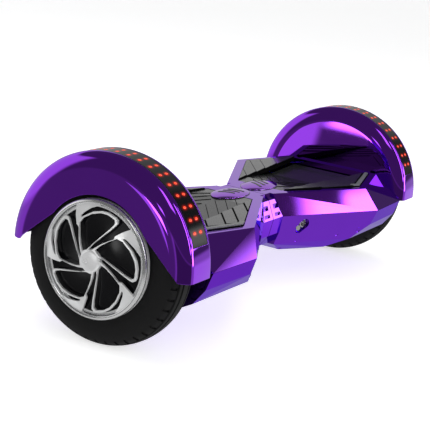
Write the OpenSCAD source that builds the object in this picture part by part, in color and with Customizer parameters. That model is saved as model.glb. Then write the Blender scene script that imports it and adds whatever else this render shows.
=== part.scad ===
// Self balancing two-wheel board with hub motors and a twisting waist.
// Frame: X runs along the wheel axles, +Y is the direction of travel, Z is up from the ground.
// Each half is drawn on the +X side and mirrored for the left half.

/* [Overall] */
// Distance from the middle of the board to the middle plane of each wheel
wheel_offset = 305.5; // [290:0.5:370]
// Radius of the tyre over its tread
tyre_r = 100; // [92:1:120]
// Height of the foot deck above the axle
deck_rise = 31; // [29:1:36]
// Front to back size of the deck at its corners
deck_depth = 202; // [168:1:242]
// Front to back size of the deck at the waist
waist_depth = 68; // [58:1:82]

/* [Shells] */
// Wall thickness of the plated shells
shell_wall = 3; // [2.4:0.1:3.6]
// Distance from the fender to the deck corner, along the axle
wing_length = 110; // [92:1:132]
// How much the deck narrows from its corner to the fender, each side
wing_taper = 30; // [25:1:36]
// How far the side walls lean out from the deck to the seam
wall_lean = 16; // [13:1:19]
// Height of the seam between the shells above the axle
seam_rise = 1; // [0.8:0.1:1.2]
// Ground clearance under the bottom shell
ground_gap = 42; // [36:1:50]
// Length of the straight collar at the waist
collar_length = 27; // [23:1:32]

/* [Fenders] */
// Width of a fender along the axle
fender_width = 59; // [58:1:70]
// Radial gap between the tread and the inside of the fender
fender_gap = 13; // [10:1:16]
// Wall thickness of a fender
fender_wall = 3; // [2.8:0.1:3.6]
// Width of the flat crown of a fender, which carries the light strip
crown_width = 31.2; // [26:0.2:37]
// Depth of the rounded shoulder beside the crown, measured radially
shoulder_drop = 23; // [19:1:27]
// Radius of the wheel arch in the outer face
arch_r = 70; // [69:1:76]

/* [Light strip] */
// Angle that the strip covers on each side of the top
strip_half_angle = 72; // [60:1:78]
// Angle between one pair of lights and the next
light_step = 7.2; // [6.8:0.1:8.6]
// Radius of one light
light_r = 2.3; // [1.9:0.1:2.7]
// Distance between the two lights of a pair
light_spread = 12; // [10:0.5:14.5]

/* [Pads] */
// Width of the plated border between a pad and the slanted deck edge
pad_border = 12; // [10:1:14]
// Thickness of a foot pad
pad_thickness = 6; // [5:0.5:7]
// How far a pad sinks when it is stood on
pad_travel = 1.5; // [1.2:0.1:1.8]
// Gap round a foot pad
pad_gap = 0.8; // [0.6:0.1:0.9]
// Half width of the channel between the pads, at its waist end
channel_half = 33; // [29:1:38]

/* [Wheels] */
// Width of the tyre
tyre_width = 45; // [38:1:46]
// Radius of the rim drum under the tyre
rim_r = 62; // [60:1:64]
// Radius of the rim lip
lip_r = 66.2; // [64.5:0.1:67.5]
// Radius of the axle
axle_r = 8.5; // [7.1:0.1:9.5]
// Outer radius of a wheel bearing
bearing_r = 17.5; // [16:0.5:21]
// Width of a wheel bearing
bearing_width = 10; // [8:0.5:11]
// How far the wheel trim stands out past the rim lip at its centre
trim_rise = 12.5; // [10.5:0.5:15]
// Number of swirl blades on the wheel trim
blade_count = 5; // [4:1:6]

/* [Pivot] */
// Outer radius of the pivot tube
tube_r = 14; // [12:0.5:15]
// Inner radius of the pivot tube, through which the harness runs
tube_bore_r = 9; // [7:0.5:10.5]
// Wall thickness of a pivot bush
bush_wall = 3; // [2.5:0.5:4]
// How far one half may twist against the other, each way, in degrees
twist_limit = 10; // [8:1:12]

/* [Electrics] */
// Length of the battery pack
battery_length = 140; // [116:1:150]
// Width of the battery pack
battery_width = 76; // [64:1:80]
// Height of the battery pack
battery_height = 38; // [32:1:40]
// Radius of the bore of the charging socket
port_r = 4.2; // [3.5:0.1:4.3]
// Radius of the power button
button_r = 3.6; // [3:0.1:3.8]
// How far the power button travels
button_travel = 1.2; // [1:0.1:1.4]

/* [Hidden] */
$fn = 96;

// Small gaps
seat = 0.3;
running = 0.05;
split_half = 0.6;
thin = 0.02;

// Heights
axle_z = tyre_r;
deck_height = axle_z + deck_rise;
seam_z = axle_z + seam_rise;
crown_r = tyre_r + fender_gap + fender_wall;
fender_end_z = axle_z - 1;

// Places along the axle
fender_in = wheel_offset - fender_width / 2;
fender_out = wheel_offset + fender_width / 2;
shell_end = fender_in - seat;
corner_x = shell_end - wing_length;

// Deck outline, one quarter
waist_x = 14;
waist_y = waist_depth / 2;
corner_y = deck_depth / 2;
wing_y = corner_y - wing_taper;
slant = (corner_y - waist_y) / (corner_x - waist_x);
slant_k = sqrt(1 + slant * slant);
wing_slope = (wing_y - corner_y) / (shell_end - corner_x);
wing_k = sqrt(1 + wing_slope * wing_slope);
wing_border = 9;

// Seam outline, one quarter
seam_waist_y = waist_y + wall_lean * 0.75;
seam_corner = [corner_x + wall_lean, corner_y + wall_lean];
seam_end_y = corner_y + wall_lean * 0.78;

// Pads and tray
window_start = 40;
window_end = shell_end - 8;
channel_slope = 0.11;
channel_drop = 9;
pad_proud = 1;
plunger_r = 4;
plunger_clear = 0.8;
plunger_places = [corner_x - 24, corner_x + 2];

// Frame
plate_top = axle_z - 3;
plate_bottom = axle_z - 8;
plate_start = 30;
plate_end = shell_end - 12;
plate_corner = [corner_x - 16, corner_y - 13];
boss_r = tube_r + bush_wall + 5;
standoff_drop = 3.7;
board_top = plate_bottom - standoff_drop - seat;

// Axle block
block_start = plate_end - 38;
block_end = plate_end - 2;
block_half = 28;
block_bottom = axle_z - 22;
clamp_top = axle_z + 12;
bolt_r = 3;
bolt_head_r = 5;
bolt_head_h = 5;

// Wheel, measured from its middle plane
bead_half = tyre_width / 2;
lip_in = bead_half + 0.3;
lip_out = lip_in + 4.7;
lip_back = lip_in + 2.2;
cover_out = 22;
cover_thick = 4;
drum_wall = 4;
stator_in = -12;
stator_out = 8;
magnet_in_r = rim_r - drum_wall - 6;
stator_r = magnet_in_r - 1;
axle_start = block_start - 2;
harness_hole_x = 64;
harness_hole_r = 7;
motor_hole_x = axle_start - 22;

// Waist pivot
tube_half = 56;
left_boss_end = 52;
right_boss_end = 50;
bush_length = 15;
pin_x = 29;
pin_r = 3;
pin_top = tube_r + 6;

// Lines of the deck outline, moved inwards by an inset
function slant_y(x, inset) = waist_y + slant * (x - waist_x) - inset * slant_k;
function wing_line_y(x, inset) = corner_y + wing_slope * (x - corner_x) - inset * wing_k;
function rim_corner_x(extra) =
    (corner_y - wing_slope * corner_x - (wing_border + extra) * wing_k
    - waist_y + slant * waist_x + (pad_border + extra) * slant_k) / (slant - wing_slope);
function channel_y(x) = channel_half + channel_slope * (x - window_start);
plunger_y = channel_y(corner_x) + 9;
function both_sides(points) =
    concat(points, [for (i = [len(points) - 1:-1:0]) [points[i][0], -points[i][1]]]);

deck_outline = both_sides([[waist_x, waist_y], [corner_x, corner_y], [shell_end, wing_y]]);
seam_outline = both_sides([[collar_length, seam_waist_y], seam_corner, [shell_end, seam_end_y]]);

// Lower levels of the bottom shell: height, then half width at waist, corner and end
level_1 = [seam_z - 21, seam_waist_y - 2, seam_corner[1] - 7, seam_end_y - 7];
level_2 = [seam_z - 40, seam_waist_y - 8, seam_corner[1] - 23, seam_end_y - 21];
level_3 = [ground_gap + 4, waist_y - 4, corner_y - 35, corner_y - 35];
belly_start = [110, 44];
belly_end = [shell_end, 45];

// Shared shapes

module on_left() {
    mirror([1, 0, 0]) children();
}

module at_wheel() {
    translate([wheel_offset, 0, axle_z]) rotate([0, 90, 0]) children();
}

module on_axis(start) {
    translate([start, 0, axle_z]) rotate([0, 90, 0]) children();
}

module slab(z, points, inset) {
    translate([0, 0, z]) linear_extrude(thin) offset(delta = -inset) polygon(points);
}

module mirrored_y() {
    children();
    mirror([0, 1, 0]) children();
}

// Cross section of the waist collar, looking along the axle
collar_section = [
    [deck_height, waist_y - 5], [deck_height - 7, waist_y + 2], [seam_z, seam_waist_y],
    [seam_z - 23, seam_waist_y - 4], [seam_z - 39, waist_y - 4]
];
collar_points = concat(
    [for (p = collar_section) [p[1], p[0]]],
    [for (i = [len(collar_section) - 1:-1:0]) [-collar_section[i][1], collar_section[i][0]]]
);

module collar_solid(inset, start, end) {
    translate([start, 0, 0]) rotate([90, 0, 90])
        linear_extrude(end - start) offset(delta = -inset) polygon(collar_points);
}

module above(z) {
    translate([-10, -200, z]) cube([500, 400, 300]);
}

module below(z) {
    translate([-10, -200, z - 300]) cube([500, 400, 300]);
}

module window_prism(extra, start, end, bottom, height) {
    x = rim_corner_x(extra);
    translate([0, 0, bottom]) linear_extrude(height) polygon(both_sides([
        [start, slant_y(start, pad_border + extra)],
        [x, slant_y(x, pad_border + extra)],
        [end, wing_line_y(end, wing_border + extra)]
    ]));
}

// Cable: a tube of eight sides swept through its points
function unit(v) = v / norm(v);
function heading(p, i) = unit(p[min(i + 1, len(p) - 1)] - p[max(i - 1, 0)]);
function side_of(t) = unit(cross(t, abs(t[2]) > 0.9 ? [0, 1, 0] : [0, 0, 1]));
function ring(p, i, r) =
    let (t = heading(p, i), a = side_of(t), b = cross(a, t))
    [for (k = [0:7]) p[i] + r * (cos(45 * k) * a + sin(45 * k) * b)];
function bend(a, b, c, n) =
    [for (i = [0:n]) let (t = i / n) a * (1 - t) * (1 - t) + b * 2 * t * (1 - t) + c * t * t];

module cable(p, r) {
    last = len(p) - 1;
    rings = [for (i = [0:last]) each ring(p, i, r)];
    walls = [for (i = [0:last - 1]) for (k = [0:7])
        [8 * i + k, 8 * i + (k + 1) % 8, 8 * i + 8 + (k + 1) % 8, 8 * i + 8 + k]];
    caps = [[for (k = [7:-1:0]) k], [for (k = [0:7]) 8 * last + k]];
    polyhedron(rings, concat(walls, caps));
}

// Frame halves

module frame_plate() {
    translate([0, 0, plate_bottom]) linear_extrude(plate_top - plate_bottom)
        polygon(both_sides([[plate_start, 18], plate_corner, [plate_end, plate_corner[1] - 26]]));
}

module screw_places() {
    mirrored_y() {
        translate([58, 31, 0]) children();
        translate([corner_x - 18, plate_corner[1] - 16, 0]) children();
        translate([plate_end - 10, block_half + 14, 0]) children();
    }
}

module bolt_places() {
    for (x = [block_start + 8, block_end - 8])
        mirrored_y() translate([x, 19, 0]) children();
}

module standoff_places() {
    for (x = [100, corner_x + 20])
        mirrored_y() translate([x, 29, 0]) children();
}

module board_posts() {
    for (x = [corner_x - 34, corner_x + 12])
        mirrored_y() translate([x, 24, plate_top - 0.5])
            cylinder(h = board_rise + 0.5, r = 3);
}

module tray_posts() {
    for (x = [window_start + 48, block_start - 10])
        translate([x, -14, plate_top - 0.5])
            cylinder(h = tray_floor(x + 4) - seat - plate_top + 0.5, r = 4);
}

module frame_casting() {
    difference() {
        union() {
            frame_plate();
            translate([block_start, -block_half, block_bottom])
                cube([block_end - block_start, 2 * block_half, axle_z - block_bottom]);
            standoff_places() translate([0, 0, plate_bottom - standoff_drop])
                cylinder(h = standoff_drop + 1, r = 4);
            board_posts();
            tray_posts();
            mirrored_y() translate([plate_start + 22, 26, plate_top - 1]) rotate([0, 0, atan(slant)])
                cube([70, 5, 9]);
        }
        bolt_places() translate([0, 0, block_bottom - 1])
            cylinder(h = axle_z, r = bolt_r + running);
        screw_places() translate([0, 0, plate_bottom - 1]) cylinder(h = 20, r = 2.2);
        for (x = [harness_hole_x, motor_hole_x])
            translate([x, 0, plate_bottom - 1]) cylinder(h = 20, r = harness_hole_r);
        translate([motor_hole_x, -harness_hole_r, plate_bottom - 1])
            cube([axle_start - motor_hole_x, 2 * harness_hole_r, 20]);
        on_axis(axle_start - seat) cylinder(h = 60, r = axle_r + running);
    }
}

module left_frame() color("silver") on_left() {
    difference() {
        union() {
            frame_casting();
            on_axis(5) cylinder(h = left_boss_end - 5, r = boss_r);
        }
        on_axis(4) cylinder(h = 60, r = tube_r + running);
    }
}

module right_frame() color("silver") {
    slot_half = pin_top * sin(twist_limit) + pin_r + seat;
    difference() {
        union() {
            frame_casting();
            on_axis(5) cylinder(h = right_boss_end - 5, r = boss_r);
        }
        on_axis(4) cylinder(h = 60, r = tube_r + bush_wall + running);
        on_axis(right_boss_end) cylinder(h = 9, r = boss_r);
        translate([pin_x - pin_r - seat, -slot_half, axle_z])
            cube([2 * pin_r + 2 * seat, 2 * slot_half, boss_r + 1]);
    }
}

module axle_clamp() color("dimgray") {
    difference() {
        translate([block_start, -block_half, axle_z + seat])
            cube([block_end - block_start, 2 * block_half, clamp_top - axle_z - seat]);
        on_axis(block_start - 1) cylinder(h = 60, r = axle_r + running);
        bolt_places() translate([0, 0, axle_z - 1]) cylinder(h = 20, r = bolt_r + running);
    }
}

module clamp_bolts() color("gray") {
    bolt_places() {
        translate([0, 0, block_bottom + 3]) cylinder(h = clamp_top - block_bottom - 3, r = bolt_r);
        translate([0, 0, clamp_top + thin]) difference() {
            cylinder(h = bolt_head_h, r = bolt_head_r);
            translate([0, 0, bolt_head_h - 2.5]) cylinder(h = 3, r = 2.6, $fn = 6);
        }
        translate([0, 0, clamp_top - 1]) cylinder(h = 2, r = bolt_r);
    }
}

// Hub motor wheel

module axle() color("lightgray") {
    difference() {
        on_axis(axle_start) cylinder(h = wheel_offset + cover_out - 1 - axle_start, r = axle_r);
        on_axis(axle_start - 1) cylinder(h = 30, r = 3.6);
    }
}

module stator() color("peru") {
    at_wheel() difference() {
        union() {
            translate([0, 0, stator_in]) cylinder(h = stator_out - stator_in, r = stator_r - 14);
            for (k = [0:17]) rotate([0, 0, 20 * k]) {
                translate([stator_r - 18, -2.2, stator_in + 1])
                    cube([17.4, 4.4, stator_out - stator_in - 2]);
                translate([stator_r - 13.5, -3.6, stator_in - 2.5])
                    cube([9, 7.2, stator_out - stator_in + 5]);
            }
        }
        translate([0, 0, stator_in - 3]) cylinder(h = 40, r = axle_r + running);
    }
}

module magnets() color("slategray") {
    at_wheel() difference() {
        translate([0, 0, stator_in - 2])
            cylinder(h = stator_out - stator_in + 4, r = rim_r - drum_wall - running);
        translate([0, 0, stator_in - 3]) cylinder(h = 40, r = magnet_in_r);
        for (k = [0:19]) rotate([0, 0, 18 * k]) translate([magnet_in_r - 1, -0.6, stator_in - 3])
            cube([4, 1.2, 40]);
    }
}

// Half of the rim in section: radius, then distance from the middle plane
rim_section = [
    [bearing_r + running, -cover_out - 3], [bearing_r + 5, -cover_out - 3],
    [bearing_r + 5, -cover_out], [rim_r - 3, -cover_out], [rim_r - 3, -lip_back],
    [lip_r - 1, -lip_back], [lip_r, -lip_back + 1], [lip_r, -lip_in], [rim_r, -lip_in],
    [rim_r, lip_in], [lip_r, lip_in], [lip_r, lip_out - 1], [lip_r - 1, lip_out],
    [rim_r - 4, lip_out], [rim_r - 4, cover_out], [bearing_r - 4, cover_out],
    [bearing_r - 4, cover_out - 1], [bearing_r + running, cover_out - 1],
    [bearing_r + running, cover_out - 2 - bearing_width],
    [bearing_r + 5, cover_out - 2 - bearing_width],
    [bearing_r + 5, cover_out - cover_thick], [rim_r - drum_wall, cover_out - cover_thick],
    [rim_r - drum_wall, -cover_out + cover_thick], [bearing_r + 5, -cover_out + cover_thick],
    [bearing_r + 5, -cover_out + 6], [bearing_r + running, -cover_out + 6]
];

module rim() color("gainsboro") {
    at_wheel() rotate_extrude() polygon(rim_section);
}

module wheel_bearings() color("lightsteelblue") {
    at_wheel() for (h = [-cover_out - 2.5, cover_out - 1.5 - bearing_width])
        translate([0, 0, h]) difference() {
            cylinder(h = bearing_width, r = bearing_r);
            translate([0, 0, -1]) cylinder(h = bearing_width + 2, r = axle_r + running);
        }
}

module tyre() color("#1d1d1f") {
    at_wheel() difference() {
        rotate_extrude() union() {
            intersection() {
                translate([tyre_r - bead_half, 0]) circle(bead_half);
                translate([tyre_r - bead_half, -bead_half]) square([bead_half, 2 * bead_half]);
            }
            translate([rim_r + running, -bead_half])
                square([tyre_r - bead_half - rim_r, 2 * bead_half]);
        }
        for (h = [-9, 0, 9]) translate([0, 0, h - 0.8]) difference() {
            cylinder(h = 1.6, r = tyre_r + 1);
            translate([0, 0, -1]) cylinder(h = 4, r = tyre_r - 3 - abs(h) * 0.2);
        }
    }
}

trim_outer_r = lip_r - 0.2;
trim_ring_r = rim_r - 5;
trim_top = lip_out + trim_rise;

module hub_inlay() color("black") {
    at_wheel() rotate_extrude() polygon([
        [0, cover_out + seat], [trim_ring_r - 1, cover_out + seat],
        [trim_ring_r - 1, lip_out + 2.2], [12, trim_top - 4.9], [0, trim_top - 4.9]
    ]);
}

// One window between two blades, drawn in the plane of the wheel
module blade_window() {
    polygon([[14, -2], [50, -19], [54, -9], [53, 4], [47, 14], [17, 3]]);
}

module blade_slit() {
    polygon([[15.5, 7.5], [45, 19], [46, 26], [42, 33], [14, 12.5]]);
}

module hub_trim() color("whitesmoke") {
    at_wheel() difference() {
        rotate_extrude() polygon([
            [0, trim_top], [10.5, trim_top], [12, trim_top - 1.6], [trim_ring_r, lip_out + 5.8],
            [trim_outer_r - 0.7, lip_out + 1], [trim_outer_r, lip_out + seat],
            [trim_ring_r, lip_out + seat], [trim_ring_r - 0.7, lip_out + 2.5],
            [12, trim_top - 4.6], [0, trim_top - 4.6]
        ]);
        for (k = [0:blade_count - 1]) rotate([0, 0, 360 / blade_count * k])
            translate([0, 0, lip_out]) linear_extrude(20) {
                blade_window();
                blade_slit();
            }
    }
}

// Fender, its light strip and its lights

module fender_form(wall) {
    half = fender_width / 2 - wall;
    flat = crown_width / 2 - wall * 0.3;
    low = crown_r - shoulder_drop - wall * 0.5;
    rotate_extrude() polygon(concat(
        [[0, -half]],
        [for (t = [0:15:90]) [low + (crown_r - wall - low) * sin(t), -flat - (half - flat) * cos(t)]],
        [for (t = [90:-15:0]) [low + (crown_r - wall - low) * sin(t), flat + (half - flat) * cos(t)]],
        [[0, half]]
    ));
}

module strip_band(inner, outer, half, angle) {
    rotate([0, 0, 180 - angle]) rotate_extrude(angle = 2 * angle)
        translate([inner, -half]) square([outer - inner, 2 * half]);
}

module fender() color("#6a2fd0") {
    difference() {
        at_wheel() fender_form(0);
        at_wheel() fender_form(fender_wall);
        below(fender_end_z);
        // Wheel arch, which opens to straight skirts at its foot
        translate([fender_out - fender_wall - 1, 0, axle_z]) rotate([0, 90, 0])
            cylinder(h = fender_wall + 3, r = arch_r);
        translate([fender_out - fender_wall - 1, 0, 0]) rotate([90, 0, 90])
            linear_extrude(fender_wall + 3) polygon([
                [-arch_r * 0.83, axle_z + arch_r * 0.56], [arch_r * 0.83, axle_z + arch_r * 0.56],
                [arch_r + 34, fender_end_z - 1], [-arch_r - 34, fender_end_z - 1]
            ]);
        // Room for the axle and the clamp in the inner face
        translate([fender_in - 1, -block_half - 12, fender_end_z - 1])
            cube([fender_wall + 2, 2 * block_half + 24, 22]);
        at_wheel() strip_band(crown_r - 1.7, crown_r + 2, crown_width / 2 - 0.4, strip_half_angle + 0.4);
    }
}

light_count = floor((strip_half_angle - 4) / light_step);

module light_places() {
    for (k = [-light_count:light_count]) for (s = [-1, 1])
        at_wheel() rotate([0, 0, 180 + k * light_step]) translate([crown_r, 0, s * light_spread / 2])
            rotate([0, 90, 0]) children();
}

module light_strip() color("#0a0a0c") {
    difference() {
        at_wheel() strip_band(crown_r - 1.5, crown_r, crown_width / 2 - 0.7, strip_half_angle);
        light_places() translate([0, 0, -3]) cylinder(h = 6, r = light_r + 0.15, $fn = 24);
    }
}

module lights() color("#ff3a20") {
    light_places() translate([0, 0, -1.4]) cylinder(h = 1.3, r = light_r, $fn = 24);
}

// Plated shells

module top_form(inset, bottom) {
    hull() {
        slab(bottom, seam_outline, inset);
        slab(seam_z, seam_outline, inset);
        slab(deck_height - inset - thin, deck_outline, inset);
    }
}

module axle_notch() {
    on_axis(shell_end - 20) cylinder(h = 40, r = axle_r + 4);
}

module tube_notch() {
    on_axis(-1) cylinder(h = 12, r = tube_r + 1.2);
}

module shell_posts() {
    mirrored_y() translate([corner_x - 18, slant_y(corner_x - 18, 7.8), 0]) children();
}

module top_shell() color("#7a3be0") {
    difference() {
        union() {
            intersection() {
                difference() {
                    union() {
                        top_form(0, seam_z);
                        collar_solid(0, split_half, collar_length + 2);
                    }
                    top_form(shell_wall, seam_z - 1);
                    collar_solid(shell_wall, split_half + shell_wall, collar_length + 6);
                    // Two shallow dress recesses on each side of the collar
                    mirrored_y() translate([7, seam_waist_y - 3.2, seam_z + 3]) {
                        cube([14, 8, 6]);
                        translate([0, -4.6, 9]) cube([14, 8, 7]);
                    }
                }
                above(seam_z + seat / 2);
            }
            shell_posts() translate([0, 0, plate_top + seat])
                cylinder(h = deck_height - plate_top - 1.5, r = 3.2);
        }
        window_prism(0, window_start, window_end, deck_height - 20, 40);
        axle_notch();
        tube_notch();
    }
}

module bottom_form(inset, top) {
    hull() {
        slab(top, seam_outline, inset);
        slab(level_1[0], both_sides([[collar_length, level_1[1]], [corner_x + 13, level_1[2]],
            [shell_end, level_1[3]]]), inset);
        slab(level_2[0], both_sides([[collar_length, level_2[1]], [corner_x - 16, level_2[2]],
            [shell_end, level_2[3]]]), inset);
        slab(level_3[0] + inset * 0.7, both_sides([[62, level_3[1]], [corner_x - 36, level_3[2]],
            [shell_end, level_3[3]]]), inset);
        slab(ground_gap + inset, both_sides([belly_start, belly_end]), inset);
    }
}

screw_seat_z = level_2[0] + 10;

// Socket pocket in the right bottom shell, on its rear slanted wall
seam_slope = (seam_corner[1] - seam_waist_y) / (seam_corner[0] - collar_length);
level_1_slope = (level_1[2] - level_1[1]) / (corner_x + 13 - collar_length);
port_x = 61.5;
port_drop = 15.5;
port_share = port_drop / (seam_z - level_1[0]);
port_wall_y = (seam_waist_y + seam_slope * (port_x - collar_length)) * (1 - port_share)
    + (level_1[1] + level_1_slope * (port_x - collar_length)) * port_share;
port_place = [port_x, -port_wall_y, seam_z - port_drop];
port_turn = -atan(seam_slope);
port_tilt = 37;
port_pitch = 10.4;
pocket_r = 6.8;
pocket_depth = 5;
pocket_floor = 2.5;
button_face = button_travel + 1.3 - pocket_depth;
socket_length = 14;
port_out = [sin(port_turn), -cos(port_turn), 0];
port_along = [cos(port_turn), sin(port_turn), 0];
socket_rear = port_place + port_along * port_pitch / 2 * cos(port_tilt)
    + [0, 0, port_pitch / 2 * sin(port_tilt)] - port_out * socket_length;

module pocket_2d(extra) {
    rotate([0, 0, port_tilt]) union() {
        for (s = [-1, 1]) translate([s * port_pitch / 2, 0]) circle(pocket_r + extra);
        translate([-port_pitch / 2, -pocket_r - extra])
            square([port_pitch, 2 * pocket_r + 2 * extra]);
    }
}

// Local frame of the socket pocket: X along the wall, Z out of the wall
module at_port() {
    translate(port_place) rotate([0, 0, port_turn]) rotate([90, 0, 0]) children();
}

module bottom_shell() color("#8a55e8") {
    difference() {
        union() {
            intersection() {
                difference() {
                    union() {
                        bottom_form(0, seam_z - seat / 2 - thin);
                        collar_solid(0, split_half, collar_length + 2);
                    }
                    bottom_form(shell_wall, seam_z + 1);
                    collar_solid(shell_wall, split_half + shell_wall, collar_length + 6);
                }
                below(seam_z - seat / 2);
            }
            intersection() {
                screw_places() translate([0, 0, ground_gap])
                    cylinder(h = plate_bottom - seat - ground_gap, r = 6.4);
                bottom_form(0, seam_z);
            }
        }
        screw_places() {
            translate([0, 0, ground_gap - 1]) cylinder(h = screw_seat_z - ground_gap + 1, r = 4.4);
            translate([0, 0, ground_gap]) cylinder(h = plate_bottom - ground_gap, r = 2.3);
        }
        axle_notch();
        tube_notch();
    }
}

module right_bottom_shell_with_pocket() {
    difference() {
        union() {
            bottom_shell();
            color("#8a55e8") intersection() {
                at_port() translate([0, 0, -pocket_depth - pocket_floor])
                    linear_extrude(30) pocket_2d(2);
                bottom_form(0.4, seam_z - seat / 2 - thin);
                below(seam_z - seat / 2);
            }
        }
        at_port() translate([0, 0, -pocket_depth]) linear_extrude(30) pocket_2d(0);
        at_port() rotate([0, 0, port_tilt]) {
            translate([port_pitch / 2, 0, -20]) cylinder(h = 30, r = port_r + 1.3);
            translate([-port_pitch / 2, 0, -20]) cylinder(h = 30, r = button_r + seat);
        }
    }
}

// Foot pads, tray and leaf covers

board_rise = 12.2;
sensor_z = plate_top + board_rise + seat;
sensor_thick = 1.6;
plunger_foot = sensor_z + 3 + pad_travel;
pad_floor = deck_height + pad_proud - pad_thickness;
pad_end = window_end - pad_gap;
pad_tip_width = 0.4;
pad_tip_x = (channel_half + pad_tip_width - channel_slope * window_start - waist_y
    + slant * waist_x + (pad_border + pad_gap) * slant_k) / (slant - channel_slope);
pad_start = max(window_start + 6, pad_tip_x);

module heel_or_toe_pad() color("#4b4c4e") {
    x = rim_corner_x(pad_gap);
    translate([0, 0, pad_floor]) linear_extrude(pad_thickness) polygon([
        [pad_start, channel_y(pad_start)],
        [pad_start, slant_y(pad_start, pad_border + pad_gap)],
        [x, slant_y(x, pad_border + pad_gap)],
        [pad_end, wing_line_y(pad_end, wing_border + pad_gap)],
        [pad_end, channel_y(pad_end)]
    ]);
    for (x = plunger_places) translate([x, plunger_y, plunger_foot])
        cylinder(h = pad_floor - plunger_foot + 0.5, r = plunger_r);
}

function tray_top(x) =
    deck_height - 0.4 - channel_drop * min(1, max(0, (x - 74) / (corner_x - 74)));
function tray_floor(x) = tray_top(x) - 3;

module deck_tray() color("#141416") {
    start = window_start + pad_gap;
    intersection() {
        translate([0, 0, deck_height - 30]) linear_extrude(40) polygon(both_sides([
            [start, channel_y(start) - pad_gap], [pad_end, channel_y(pad_end) - pad_gap]
        ]));
        window_prism(pad_gap / 2, start, pad_end, deck_height - 30, 40);
        translate([0, 150, 0]) rotate([90, 0, 0]) linear_extrude(300) polygon([
            [start, tray_top(start)], [74, tray_top(74)], [corner_x, tray_top(corner_x)],
            [pad_end, tray_top(pad_end)], [pad_end, tray_floor(pad_end)],
            [corner_x, tray_floor(corner_x)], [74, tray_floor(74)], [start, tray_floor(start)]
        ]);
    }
}

leaf_start = 2;
leaf_length = 70;
leaf_width = 36;
leaf_arc = (leaf_length * leaf_length + leaf_width * leaf_width) / 4 / leaf_width;
leaf_height = 4.5;

module leaf_plan(inset) {
    translate([leaf_start + leaf_length / 2, 0]) intersection() {
        translate([0, leaf_arc - leaf_width / 2]) circle(leaf_arc - inset, $fn = 180);
        translate([0, leaf_width / 2 - leaf_arc]) circle(leaf_arc - inset, $fn = 180);
    }
}

module leaf_bar(k) {
    translate([leaf_start + 22 + k * 11, -7 + k, deck_height + leaf_height - 1.2])
        rotate([0, 0, 62]) cube([13, 2.4, 2]);
}

module leaf_cover() color("#8d5cf0") {
    difference() {
        translate([0, 0, deck_height + 0.1]) linear_extrude(leaf_height - 0.1) leaf_plan(0);
        for (k = [0:2]) leaf_bar(k);
    }
}

module leaf_inserts() color("#55565a") {
    intersection() {
        for (k = [0:2]) leaf_bar(k);
        translate([0, 0, deck_height]) linear_extrude(leaf_height + 0.3) leaf_plan(2);
    }
}

// Boards, battery and fasteners

module sensor_board() color("seagreen") {
    difference() {
        union() {
            translate([corner_x - 42, -66, sensor_z]) cube([62, 132, sensor_thick]);
            for (x = plunger_places) mirrored_y()
                translate([x - 7, plunger_y - 7, sensor_z + 1.5]) cube([14, 14, 8]);
            translate([corner_x - 18, -8, sensor_z + 1.5]) cube([14, 16, 2.5]);
        }
        for (x = plunger_places) mirrored_y() translate([x, plunger_y, sensor_z + 2])
            cylinder(h = 20, r = plunger_r + plunger_clear);
    }
}

module case_screws() color("dimgray") {
    screw_places() {
        translate([0, 0, screw_seat_z - 3]) difference() {
            cylinder(h = 3 - thin, r = 4);
            translate([0, 0, -1]) cylinder(h = 2.4, r = 2, $fn = 6);
        }
        translate([0, 0, screw_seat_z - 0.5]) cylinder(h = plate_top - screw_seat_z - 0.5, r = 2);
    }
}

board_plug_in = 76;
board_plug_out = motor_hole_x - 10;

module main_board() color("darkgreen") on_left() {
    translate([board_plug_in - 2, -44, board_top - 1.6])
        cube([board_plug_out - board_plug_in + 2, 88, 1.6]);
    translate([92, -30, board_top - 15]) cube([50, 60, 13.5]);
    for (y = [-32, -12, 12, 32]) translate([160, y, board_top - 17]) cylinder(h = 15.5, r = 6);
    translate([board_plug_in, -12, board_top - 10]) cube([8, 24, 8.5]);
    translate([board_plug_out - 8, -12, board_top - 10]) cube([8, 24, 8.5]);
}

battery_start = 80;
battery_top = board_top;
battery_bottom = battery_top - battery_height;

module battery_pack() color("royalblue") {
    translate([battery_start, -battery_width / 2, battery_bottom])
        cube([battery_length, battery_width, battery_height]);
}

module battery_bracket() color("gray") {
    side = battery_width / 2 + seat;
    length = battery_length - 60;
    translate([battery_start + 30, 0, 0]) {
        translate([0, -side - 1.5, battery_bottom - seat - 1.5]) cube([length, 2 * side + 3, 1.5]);
        mirrored_y() translate([0, side, battery_bottom - seat - 1])
            cube([length, 1.5, plate_bottom - seat - battery_bottom + seat + 1]);
        mirrored_y() translate([0, side, plate_bottom - seat - 1.5]) cube([length, 9, 1.5]);
    }
}

// Waist pivot

module pivot_tube() color("slategray") {
    difference() {
        on_axis(-tube_half + 4) cylinder(h = 2 * tube_half - 4, r = tube_r);
        on_axis(-tube_half) cylinder(h = 2 * tube_half + 4, r = tube_bore_r);
        on_axis(right_boss_end + seat) difference() {
            cylinder(h = 1.5, r = tube_r + 1);
            translate([0, 0, -1]) cylinder(h = 4, r = tube_r - 1);
        }
        translate([pin_x, 0, axle_z]) cylinder(h = tube_r + 1, r = pin_r + running);
    }
}

module pivot_bushes() color("goldenrod") {
    for (x = [8, right_boss_end - bush_length - 0.5]) difference() {
        on_axis(x) cylinder(h = bush_length, r = tube_r + bush_wall);
        on_axis(x - 1) cylinder(h = bush_length + 2, r = tube_r + running);
    }
}

module pivot_clip() color("dimgray") {
    on_axis(right_boss_end + seat + 0.05) difference() {
        cylinder(h = 1.4, r = tube_r + 3.5);
        translate([0, 0, -1]) cylinder(h = 4, r = tube_r - 1 + running);
    }
}

module twist_stop_pin() color("dimgray") {
    translate([pin_x, 0, axle_z + tube_bore_r + 0.5])
        cylinder(h = pin_top - tube_bore_r - 0.5, r = pin_r);
}

// Socket and button

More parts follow.
